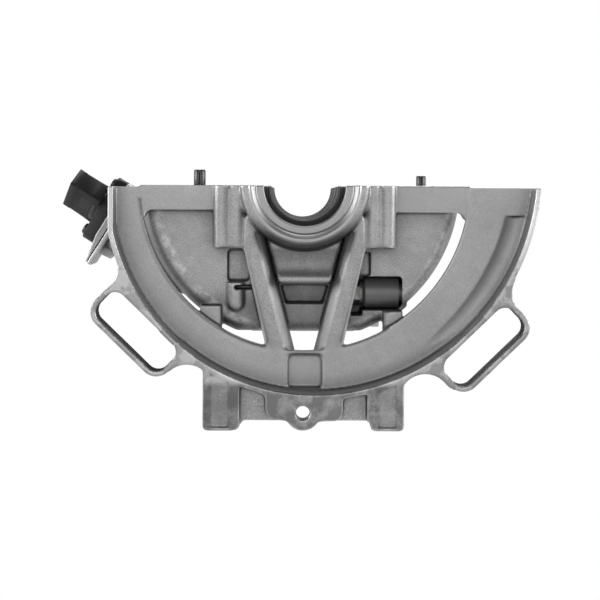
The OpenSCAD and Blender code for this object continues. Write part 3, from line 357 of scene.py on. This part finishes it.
# Where it was milled: the bell's front, the joint face and the undersides of the posts
bell_face = deep.step(-1.2 * mm, -2.2 * mm)
joint_face = high.step(-1.0 * mm, -0.5 * mm)
post_face = high.step(-182.8 * mm, -183.6 * mm)
milled = (bell_face + joint_face + post_face).maths("MINIMUM", 1.0)
off_middle = side.maths("ABSOLUTE")
foot_front = high.step(-145 * mm, -152 * mm) * off_middle.step(94 * mm, 80 * mm)

# The skin: cloudy patches, sand grain, painted glints of highlight and painted shade in recesses
clouds = skin.noise(28, 5, 0.62)
patches = skin.noise(120, 4, 0.6)
sand = skin.noise(1300, 3, 0.7)
painted_glints = skin.noise(1900, 2, 0.5).step(0.64, 0.74)
smooth_plate = deep.step(13 * mm, 15 * mm) * deep.step(24 * mm, 22 * mm)
grain = 1 - 0.6 * smooth_plate
skin_shade = 0.88 + 0.12 * clouds.step(0.3, 0.7) + 0.14 * grain * patches.step(0.3, 0.7)
sand_light = 1 + grain * (0.7 * sand.step(0.25, 0.75) - 0.35)
skin_light = skin_shade * sand_light + 0.6 * grain * painted_glints
# Painted shade where the casting closes round a point and in its inside corners; edges lighter as rubbed
# metal and as painted highlight
hollow_shade = open_air.step(1.0, 0.35)
skin_light = skin_light * (1 - 0.45 * hollow_shade) * (1 - 0.55 * creases) * (1 + 0.45 * edges)

# Painted shade in the bore, under the hub, in the hollow of the skirt, at the foot of the front wall,
# on the walls of the loops' openings and a little over the whole front wall, and painted light on
# the sides of the struts. The wall's round edge gets a painted highlight.
from_crank = (side * side + high * high).maths("SQRT")
shaded_bore = from_crank.step(38 * mm, 37 * mm) * deep.step(9.5 * mm, 11 * mm)
shaded_hub_under = from_crank.step(41 * mm, 44 * mm) * from_crank.step(51 * mm, 49.5 * mm)
shaded_hub_under = shaded_hub_under * high.step(-18 * mm, -40 * mm) * deep.step(20 * mm, 10 * mm)
on_wall = deep.step(23 * mm, 25.5 * mm) * deep.step(60 * mm, 50 * mm)
shaded_skirt = deep.step(8.5 * mm, 11 * mm) * deep.step(60 * mm, 50 * mm)
shaded_skirt = shaded_skirt * high.step(-80 * mm, -74 * mm) * off_middle.step(34 * mm, 28 * mm)
shaded_wall_foot = on_wall * high.step(-78 * mm, -92 * mm)
wall_edge_highlight = from_crank.step(110 * mm, 113 * mm) * from_crank.step(119 * mm, 115.5 * mm)
wall_edge_highlight = on_wall * wall_edge_highlight


def in_loop(middle_x, middle_z, slope):
    """1 on the inner walls of the loop with this middle and slope."""
    cos, sin = math.cos(math.radians(slope)), math.sin(math.radians(slope))
    right, rise = side - middle_x * mm, high - middle_z * mm
    ahead = (right * cos + rise * sin).maths("ABSOLUTE")
    aside = (rise * cos - right * sin).maths("ABSOLUTE")
    return ahead.step(37.2 * mm, 36.2 * mm) * aside.step(15.6 * mm, 14.6 * mm)


shaded_loop_walls = in_loop(*loops[0]) + in_loop(*loops[1])
shaded_loop_walls = shaded_loop_walls * deep.step(-1.5 * mm, 0.5 * mm) * deep.step(24 * mm, 20 * mm)
turned_to = skin.add("ShaderNodeNewGeometry", output="Normal")
front_share = skin.add("ShaderNodeSeparateXYZ", None, {0: turned_to}, output=1).maths("ABSOLUTE")
lit_strut_sides = from_crank.step(48 * mm, 52 * mm) * deep.step(22 * mm, 19 * mm)
lit_strut_sides = lit_strut_sides * off_middle.step(62 * mm, 56 * mm) * high.step(-134 * mm, -130 * mm)
lit_strut_sides = lit_strut_sides * front_share.step(0.75, 0.45)
painted_shading = (1 - 0.7 * shaded_bore) * (1 - 0.85 * shaded_hub_under) * (1 - 0.42 * shaded_skirt)
painted_shading = painted_shading * (1 - 0.42 * shaded_wall_foot) * (1 - 0.7 * shaded_loop_walls) * (1 - 0.12 * on_wall)
painted_shading = painted_shading * (1 + lit_strut_sides)
skin_light = skin_light * painted_shading + 0.8 * wall_edge_highlight * (patches.step(0.4, 0.6) * 0.5 + painted_glints)
skin_colour = (skin_light * 0.4).mix(grey(0.0), grey(2.5 * skin_tone))

# The milled faces carry painted light, brighter to the right on the rim and darker to the right on
# the loops, and painted shade in their inside corners. The foot's front is dull and scuffed, with
# painted shade in its creases and its edges lighter as rubbed metal and as painted highlight
scuffs = skin.noise(90, 6, 0.7).step(0.42, 0.62)
milled_light = (0.9 + 0.2 * sand) * (1 - 0.5 * creases)
painted_light_across = side.step(-60 * mm, 100 * mm)
on_loops = high.step(-48 * mm, -72 * mm) * off_middle.step(60 * mm, 80 * mm)
stains = skin.noise(65, 4, 0.62).step(0.47, 0.53)
rim_colour = painted_light_across.mix(grey(2 * rim_left), grey(2 * rim_right))
loop_colour = painted_light_across.mix(grey(2 * loop_left), grey(2 * loop_right))
milled_light = milled_light * (1 - (0.1 + 0.2 * on_loops) * stains)
face_colour = (milled_light * 0.5).mix(grey(0.0), on_loops.mix(rim_colour, loop_colour))
left_post = side.step(-40 * mm, -50 * mm)
foot_light = 0.5 + 0.5 * clouds + scuffs * patches
foot_light = foot_light * (1 - 0.25 * left_post) * (1 - 0.6 * creases) * (1 + 0.9 * edges)
foot_colour = (foot_light * 0.5).mix(grey(0.0), grey(2 * foot_tone))
front_colour = foot_front.mix(face_colour, foot_colour)

# The turned seat of the crank seal is smooth and evenly grey
turned = from_crank.step(30 * mm, 31 * mm) * from_crank.step(42 * mm, 41 * mm)
turned = turned * deep.step(10.5 * mm, 9.5 * mm)
turned_light = 0.92 + 0.16 * clouds
turned_colour = (turned_light * 0.5).mix(grey(0.0), grey(2 * seat_tone))
bump = skin.add("ShaderNodeBump", None, {
    "Strength": 0.3, "Distance": 0.4 * mm, "Height": sand * (1 - shaded_loop_walls)})
surface = skin.add("ShaderNodeBsdfPrincipled", None, {
    "Base Color": turned.mix(milled.mix(skin_colour, front_colour), turned_colour),
    "Metallic": 0.85 * (1 - shaded_loop_walls) * (1 - 0.8 * shaded_bore) * (1 - 0.75 * lit_strut_sides),
    "Roughness": 0.5 - 0.08 * milled + 0.45 * shaded_loop_walls + 0.2 * shaded_bore,
    "Normal": bump,
})
skin.add("ShaderNodeOutputMaterial", None, {"Surface": surface})
casting.data.materials.append(alloy)


# The dowels: two rolled spring pins of blackened steel, slotted along their length and driven into
# the joint face. Their ends are rounded, and the oxide is rubbed off along the edges.
sharp_turn = math.radians(40)


def round_edges(name, width):
    """Breaks a machined node's sharp edges by this much."""
    node = nodes[name]
    weld = node.modifiers.new("weld", "WELD")
    weld.merge_threshold = 0.01 * mm
    bevel = node.modifiers.new("bevel", "BEVEL")
    bevel.width = width
    bevel.segments = 2
    bevel.limit_method = "ANGLE"
    bevel.angle_limit = sharp_turn


def worn_metal(name, tone, rough=0.4, warm=0.0, metallic=0.9, rub=0.5, marks=(260, 260, 260)):
    """Metal with cloudy oxide, fine marks at these scales along x, y and z, and rubbed edges."""
    material, base = fresh_material(name)
    own_place = base.add("ShaderNodeTexCoord", output=3)
    stretched = base.add("ShaderNodeMapping", None, {"Vector": own_place, "Scale": marks})
    lines = base.add("ShaderNodeTexNoise", None, {
        "Vector": stretched, "Scale": 4.0, "Detail": 3, "Roughness": 0.6})
    cloud = base.noise(220, 4, 0.6)
    bent = base.add("ShaderNodeNewGeometry", output="Pointiness")
    light = (0.7 + 0.35 * cloud + 0.3 * lines) * (1 + rub * bent.step(0.51, 0.56))
    colour = (light * 0.5).mix(grey(0.0), grey(2 * tone, warm))
    relief = base.add("ShaderNodeBump", None, {
        "Strength": 0.15, "Distance": 0.1 * mm, "Height": lines})
    shell = base.add("ShaderNodeBsdfPrincipled", None, {
        "Base Color": colour, "Metallic": metallic,
        "Roughness": rough - 0.1 + 0.2 * cloud, "Normal": relief})
    base.add("ShaderNodeOutputMaterial", None, {"Surface": shell})
    return material


def wear(name, material):
    nodes[name].data.materials.clear()
    nodes[name].data.materials.append(material)


round_edges("dowel_pins", 0.25 * mm)
wear("dowel_pins", worn_metal("blackened_pin", 0.035, 0.38, rub=2.0, marks=(700, 700, 60)))


# The main bearings: steel-backed shells with a grey lining in each saddle, and thrust washers on
# both sides of one of them. Their dark tones are painted shade deep inside the bore.
for name, tone in (("main_bearing_shells", 0.10), ("thrust_washers", 0.16)):
    wear(name, worn_metal(name, tone, 0.55, metallic=0.5, marks=(90, 1500, 90)))


# The relief valve: a turned cylinder let into the front wall, with a hex plug on a copper washer.
# The piston in it slides against a spring and opens the return to the sump.
round_edges("valve_plug", 0.3 * mm)
round_edges("valve_piston", 0.3 * mm)
valve_iron = worn_metal("valve_iron", 0.085, 0.5, metallic=0.55, rub=0.6, marks=(500, 500, 500))
wear("valve_cylinder", valve_iron)
wear("valve_piston", worn_metal("ground_steel", 0.45, 0.28, marks=(1500, 80, 80)))
wear("valve_washer", worn_metal("oiled_copper", 0.09, 0.5, 0.18))
wear("valve_plug", worn_metal("oiled_plug", 0.12, 0.5, rub=1.0))

# Its coil spring stands on the plug and reaches into the piston, which squeezes it as it slides
coil = bpy.data.objects.new("coil_spring", nodes["valve_spring"].data.copy())
coil.matrix_world = nodes["valve_spring"].matrix_world.copy()
bpy.context.scene.collection.objects.link(coil)
coil.data.materials.clear()
coil.data.materials.append(worn_metal("spring_wire", 0.22, 0.35, rub=1.0))
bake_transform(coil)
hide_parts("valve_spring")


# The oil sensor: a moulded black housing whose flange, collar and square socket lean out of the
# left side. The socket is turned on its axis, and its open end holds the three terminals.
plastic, moulding = fresh_material("moulded_plastic")
skin_grain = moulding.noise(2600, 3, 0.6)
haze = moulding.noise(60, 3, 0.5)
plastic_edge = moulding.add("ShaderNodeNewGeometry", output="Pointiness")
plastic_light = 0.75 + 0.5 * haze + 0.5 * plastic_edge.step(0.51, 0.57)
plastic_relief = moulding.add("ShaderNodeBump", None, {
    "Strength": 0.15, "Distance": 0.12 * mm, "Height": skin_grain})
# Faces that turn down are painted lighter: painted light from the pale floor under them
turned_to = moulding.add("ShaderNodeNewGeometry", output="Normal")
lit_from_below = moulding.add("ShaderNodeSeparateXYZ", None, {0: turned_to}, output=2).step(0.2, -0.3)
plastic_shell = moulding.add("ShaderNodeBsdfPrincipled", None, {
    "Base Color": (plastic_light * (0.2 + 0.5 * lit_from_below)).mix(grey(0.0), grey(0.05)),
    "Specular IOR Level": 0.22,
    "Roughness": 0.34 + 0.16 * skin_grain, "Normal": plastic_relief})
moulding.add("ShaderNodeOutputMaterial", None, {"Surface": plastic_shell})

# The housing, its seat and its screws are drawn in millimetres at the pad, with x up along it
pad_place = Vector((-151.3, 90, -25.7)) * mm
pad_slope = math.radians(32)
from_pad = (
    Matrix.Translation(pad_place)
    @ Matrix.Rotation(pad_slope - math.pi / 2, 4, "Y")
    @ Matrix.Scale(mm, 4)
)


def arc(middle_x, middle_y, radius, first, last, steps):
    """Points on an arc from the first to the last angle in degrees."""
    angles = [math.radians(first + (last - first) * k / steps) for k in range(steps + 1)]
    return [(middle_x + radius * math.cos(a), middle_y + radius * math.sin(a)) for a in angles]


def box_loop(wide, thick, corner, spin=0.0, middle=(0.0, 0.0)):
    """A rectangle with round corners, turned by spin degrees about its middle."""
    outline = []
    for right, back, first in ((1, 1, 0), (-1, 1, 90), (-1, -1, 180), (1, -1, 270)):
        corner_x = right * (wide / 2 - corner)
        corner_y = back * (thick / 2 - corner)
        outline += arc(corner_x, corner_y, corner, first, first + 90, 5)
    cos, sin = math.cos(math.radians(spin)), math.sin(math.radians(spin))
    return [(middle[0] + x * cos - y * sin, middle[1] + x * sin + y * cos) for x, y in outline]


def skin_rings(shape, places):
    """Skins rings of points one after another and closes both ends."""
    rings = [[shape.verts.new(point) for point in ring] for ring in places]
    for lower, upper in zip(rings, rings[1:]):
        for k in range(len(lower)):
            after = (k + 1) % len(lower)
            shape.faces.new((lower[k], lower[after], upper[after], upper[k]))
    shape.faces.new(rings[0][::-1])
    shape.faces.new(rings[-1])


def stack(shape, loops, slant=0.0):
    """Skins loops of the same number of points, given with their heights, and closes both ends."""
    skin_rings(shape, [[(x, y, height + slant * x) for x, y in loop] for height, loop in loops])


def settle(name, shape, material, stands_for):
    """Makes a piece of a shape drawn at the sensor's pad, and lets it stand for its node."""
    bmesh.ops.transform(shape, matrix=from_pad, verts=shape.verts)
    bmesh.ops.recalc_face_normals(shape, faces=shape.faces)
    mesh = bpy.data.meshes.new(name)
    shape.to_mesh(mesh)
    for face in mesh.polygons:
        face.use_smooth = True
    piece = bpy.data.objects.new(name, mesh)
    bpy.context.scene.collection.objects.link(piece)
    piece.data.materials.append(material)
    sharp = piece.modifiers.new("sharp", "BEVEL")
    sharp.width = 0.3 * mm
    sharp.segments = 2
    sharp.limit_method = "ANGLE"
    sharp.angle_limit = sharp_turn
    sharp.harden_normals = True
    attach(piece, "case")
    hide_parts(stands_for)


lobe_x = 21.4
lobe_r = 7
middle_r = 15
lean = math.degrees(math.acos((middle_r - lobe_r) / lobe_x))
flange_low = 6.0
flange_high = 16.2
collar_top = 20.5


def flange_loop(shrink):
    return (
        arc(lobe_x, 0, lobe_r - shrink, -lean, lean, 12)
        + arc(0, 0, middle_r - shrink, lean, 180 - lean, 6)
        + arc(-lobe_x, 0, lobe_r - shrink, 180 - lean, 180 + lean, 12)
        + arc(0, 0, middle_r - shrink, 180 + lean, 360 - lean, 6)
    )


housing = bmesh.new()
stack(housing, [
    (flange_low, flange_loop(0.4)), (flange_low + 0.6, flange_loop(0)),
    (flange_high - 1.4, flange_loop(0)), (flange_high - 0.4, flange_loop(0.5)),
    (flange_high, flange_loop(1.5)),
])
collar_rings = (
    (flange_high - 2, 13.6), (flange_high + 0.6, 13.6), (collar_top - 1.2, 13.2), (collar_top, 12.4))
stack(housing, [(z, arc(0, 0, radius, 0, 350, 35)) for z, radius in collar_rings])

# The socket's outside goes up to its rim and over it, then its inside goes down to the floor. Each
# row is a height, the width and thickness there, the corners' radius and the place of the middle.
socket_spin = -38.5
socket_thick = 21.7
socket_middle = 1.3
end_slant = 0.09
socket_rows = (
    (16.6, 25.4, 21.8, 2.6, 1.0), (17.6, 26.6, 23.0, 3.0, 1.0), (24.5, 25.6, 22.2, 2.4, 1.2),
    (37.8, 24.6, socket_thick, 2.0, socket_middle), (38.2, 25.2, 22.3, 2.2, socket_middle),
    (43.9, 25.2, 22.3, 2.2, socket_middle), (44.5, 24.6, socket_thick, 1.9, socket_middle),
    (44.5, 21.4, 18.5, 1.2, socket_middle), (44.0, 21.0, 18.1, 1.0, socket_middle),
    (30.0, 20.7, 17.8, 1.0, socket_middle),
)
stack(housing, [
    (z, box_loop(wide, thick, corner, socket_spin, (middle_x, 0)))
    for z, wide, thick, corner, middle_x in socket_rows
], end_slant)


def socket_block(low, high, flat, size):
    """A raised form with this middle and size across the socket, before the socket's turn."""
    cos, sin = math.cos(math.radians(socket_spin)), math.sin(math.radians(socket_spin))
    place = (socket_middle + flat[0] * cos - flat[1] * sin, flat[0] * sin + flat[1] * cos)
    block = [(z, box_loop(*size, 0.4, socket_spin, place)) for z in (low, high)]
    stack(housing, block, end_slant)


# A blank field on the front face, a catch through the back wall, and two thin guide ribs that stand
# inside the upper wall. The middles of the field and the catch lie this deep under their faces.
block_depth = 1.2
face_side = socket_thick / 2 - block_depth
field_rise = 0.45
catch_rise = 2.2
socket_block(21.5, 32.0, (2, -face_side), (11, 2 * (block_depth + field_rise)))
rib_size = (3.2, 0.8)
rib_side = 10.3
rib_apart = 8.4
for rib_place in (-rib_apart / 2, rib_apart / 2):
    socket_block(25.0, 36.5, (rib_side, rib_place), rib_size)
socket_block(25.0, 43.5, (0, face_side), (9, 2 * (block_depth + catch_rise)))
settle("moulded_housing", housing, plastic, "sensor_housing")


# The seat of the sensor: a cast plate under the flange that thins out to a tongue at its lower end,
# on a rubber gasket. Its edges are broken, and its two ends are a little narrower.
plate_low = -42.6
plate_high = 28.2
plate_half = 16.6
plate_foot = 0.8
plate_top = 5.9
plate_edge = 1.0
end_ease = 1.2
tongue_from = -20
tongue_run = 20
tongue_drop = 3.9
narrow_from = -30
narrow_run = 12
narrow_by = 3.0
plate_rows = []
for station in (plate_low, -41.5, -38, -33, -28, -24, -20, -10, 0, 10, 20, 26, 27.6, plate_high):
    ease = end_ease if station in (plate_low, plate_high) else 0.0
    half = plate_half - ease - narrow_by * max(0.0, (narrow_from - station) / narrow_run)
    thinned = max(0.0, min(1.0, (tongue_from - station) / tongue_run))
    top = plate_top - tongue_drop * thinned - ease / 3
    plate_rows.append([(station, y, z) for y, z in (
        (-half, plate_foot), (-half, top - plate_edge), (-half + plate_edge, top),
        (half - plate_edge, top), (half, top - plate_edge), (half, plate_foot))])
seat_plate = bmesh.new()
skin_rings(seat_plate, plate_rows)
seat_casting = worn_metal("seat_casting", 0.24, 0.55, marks=(300, 300, 300))
settle("cast_seat_plate", seat_plate, seat_casting, "sensor_plate")
wear("sensor_gasket", worn_metal("gasket_rubber", 0.02, 0.8, metallic=0.0, rub=0.2))


# The sensor's screws: two black socket screws with low round heads through the flange's lobes. Each
# row is a height, a radius and whether the ring is the six-sided socket.
screw_steps = 24
screw_rows = (
    (-11.0, 2.6, False), (flange_high - 0.5, 2.6, False), (flange_high - 0.4, 4.6, False),
    (flange_high + 1.2, 4.6, False), (flange_high + 2.2, 3.8, False),
    (flange_high + 2.5, 2.9, False), (flange_high + 2.5, 2.0, True), (flange_high + 0.9, 2.0, True),
)


def screw_loop(middle_x, radius, six_sided):
    ring = []
    for k in range(screw_steps):
        angle = math.tau * k / screw_steps
        out = radius / math.cos((angle % (math.pi / 3)) - math.pi / 6) if six_sided else radius
        ring.append((middle_x + out * math.cos(angle), out * math.sin(angle)))
    return ring


screws = bmesh.new()
for middle_x in (-lobe_x, lobe_x):
    stack(screws, [(z, screw_loop(middle_x, radius, socket)) for z, radius, socket in screw_rows])
settle("socket_screws", screws, worn_metal("black_screws", 0.03, 0.45, rub=1.5), "sensor_screws")


# Inside the sensor: a brass probe sealed by a rubber ring, and three tinned blades as terminals
wear("sensor_o_ring", worn_metal("ring_rubber", 0.02, 0.6, metallic=0.0, rub=0.2))
wear("sensor_terminals", worn_metal("tinned_blades", 0.5, 0.3, 0.15))
wear("sensor_probe", worn_metal("probe_brass", 0.4, 0.35, 0.3, marks=(80, 80, 900)))


# Inside the sump: a pressed baffle held by four screws, and the strainer on its pickup tube.
round_edges("baffle_screws", 0.3 * mm)
wear("baffle_plate", worn_metal("pressed_sheet", 0.34, 0.42, marks=(60, 900, 900)))
wear("baffle_screws", worn_metal("plated_screws", 0.4, 0.35))
wear("oil_strainer", worn_metal("strainer_sheet", 0.3, 0.42))
wear("pickup_tube", worn_metal("drawn_tube", 0.36, 0.32, marks=(900, 60, 900)))


# The plugs: the drain plug on its copper washer in the side of the well, and two plugs that close
# the oil gallery at the back.
round_edges("drain_plug", 0.4 * mm)
round_edges("gallery_plugs", 0.3 * mm)
wear("drain_plug", worn_metal("drain_steel", 0.2, 0.42, rub=0.8))
wear("drain_washer", worn_metal("drain_copper", 0.35, 0.4, 0.35))
wear("gallery_plugs", worn_metal("gallery_steel", 0.22, 0.42, rub=0.8))
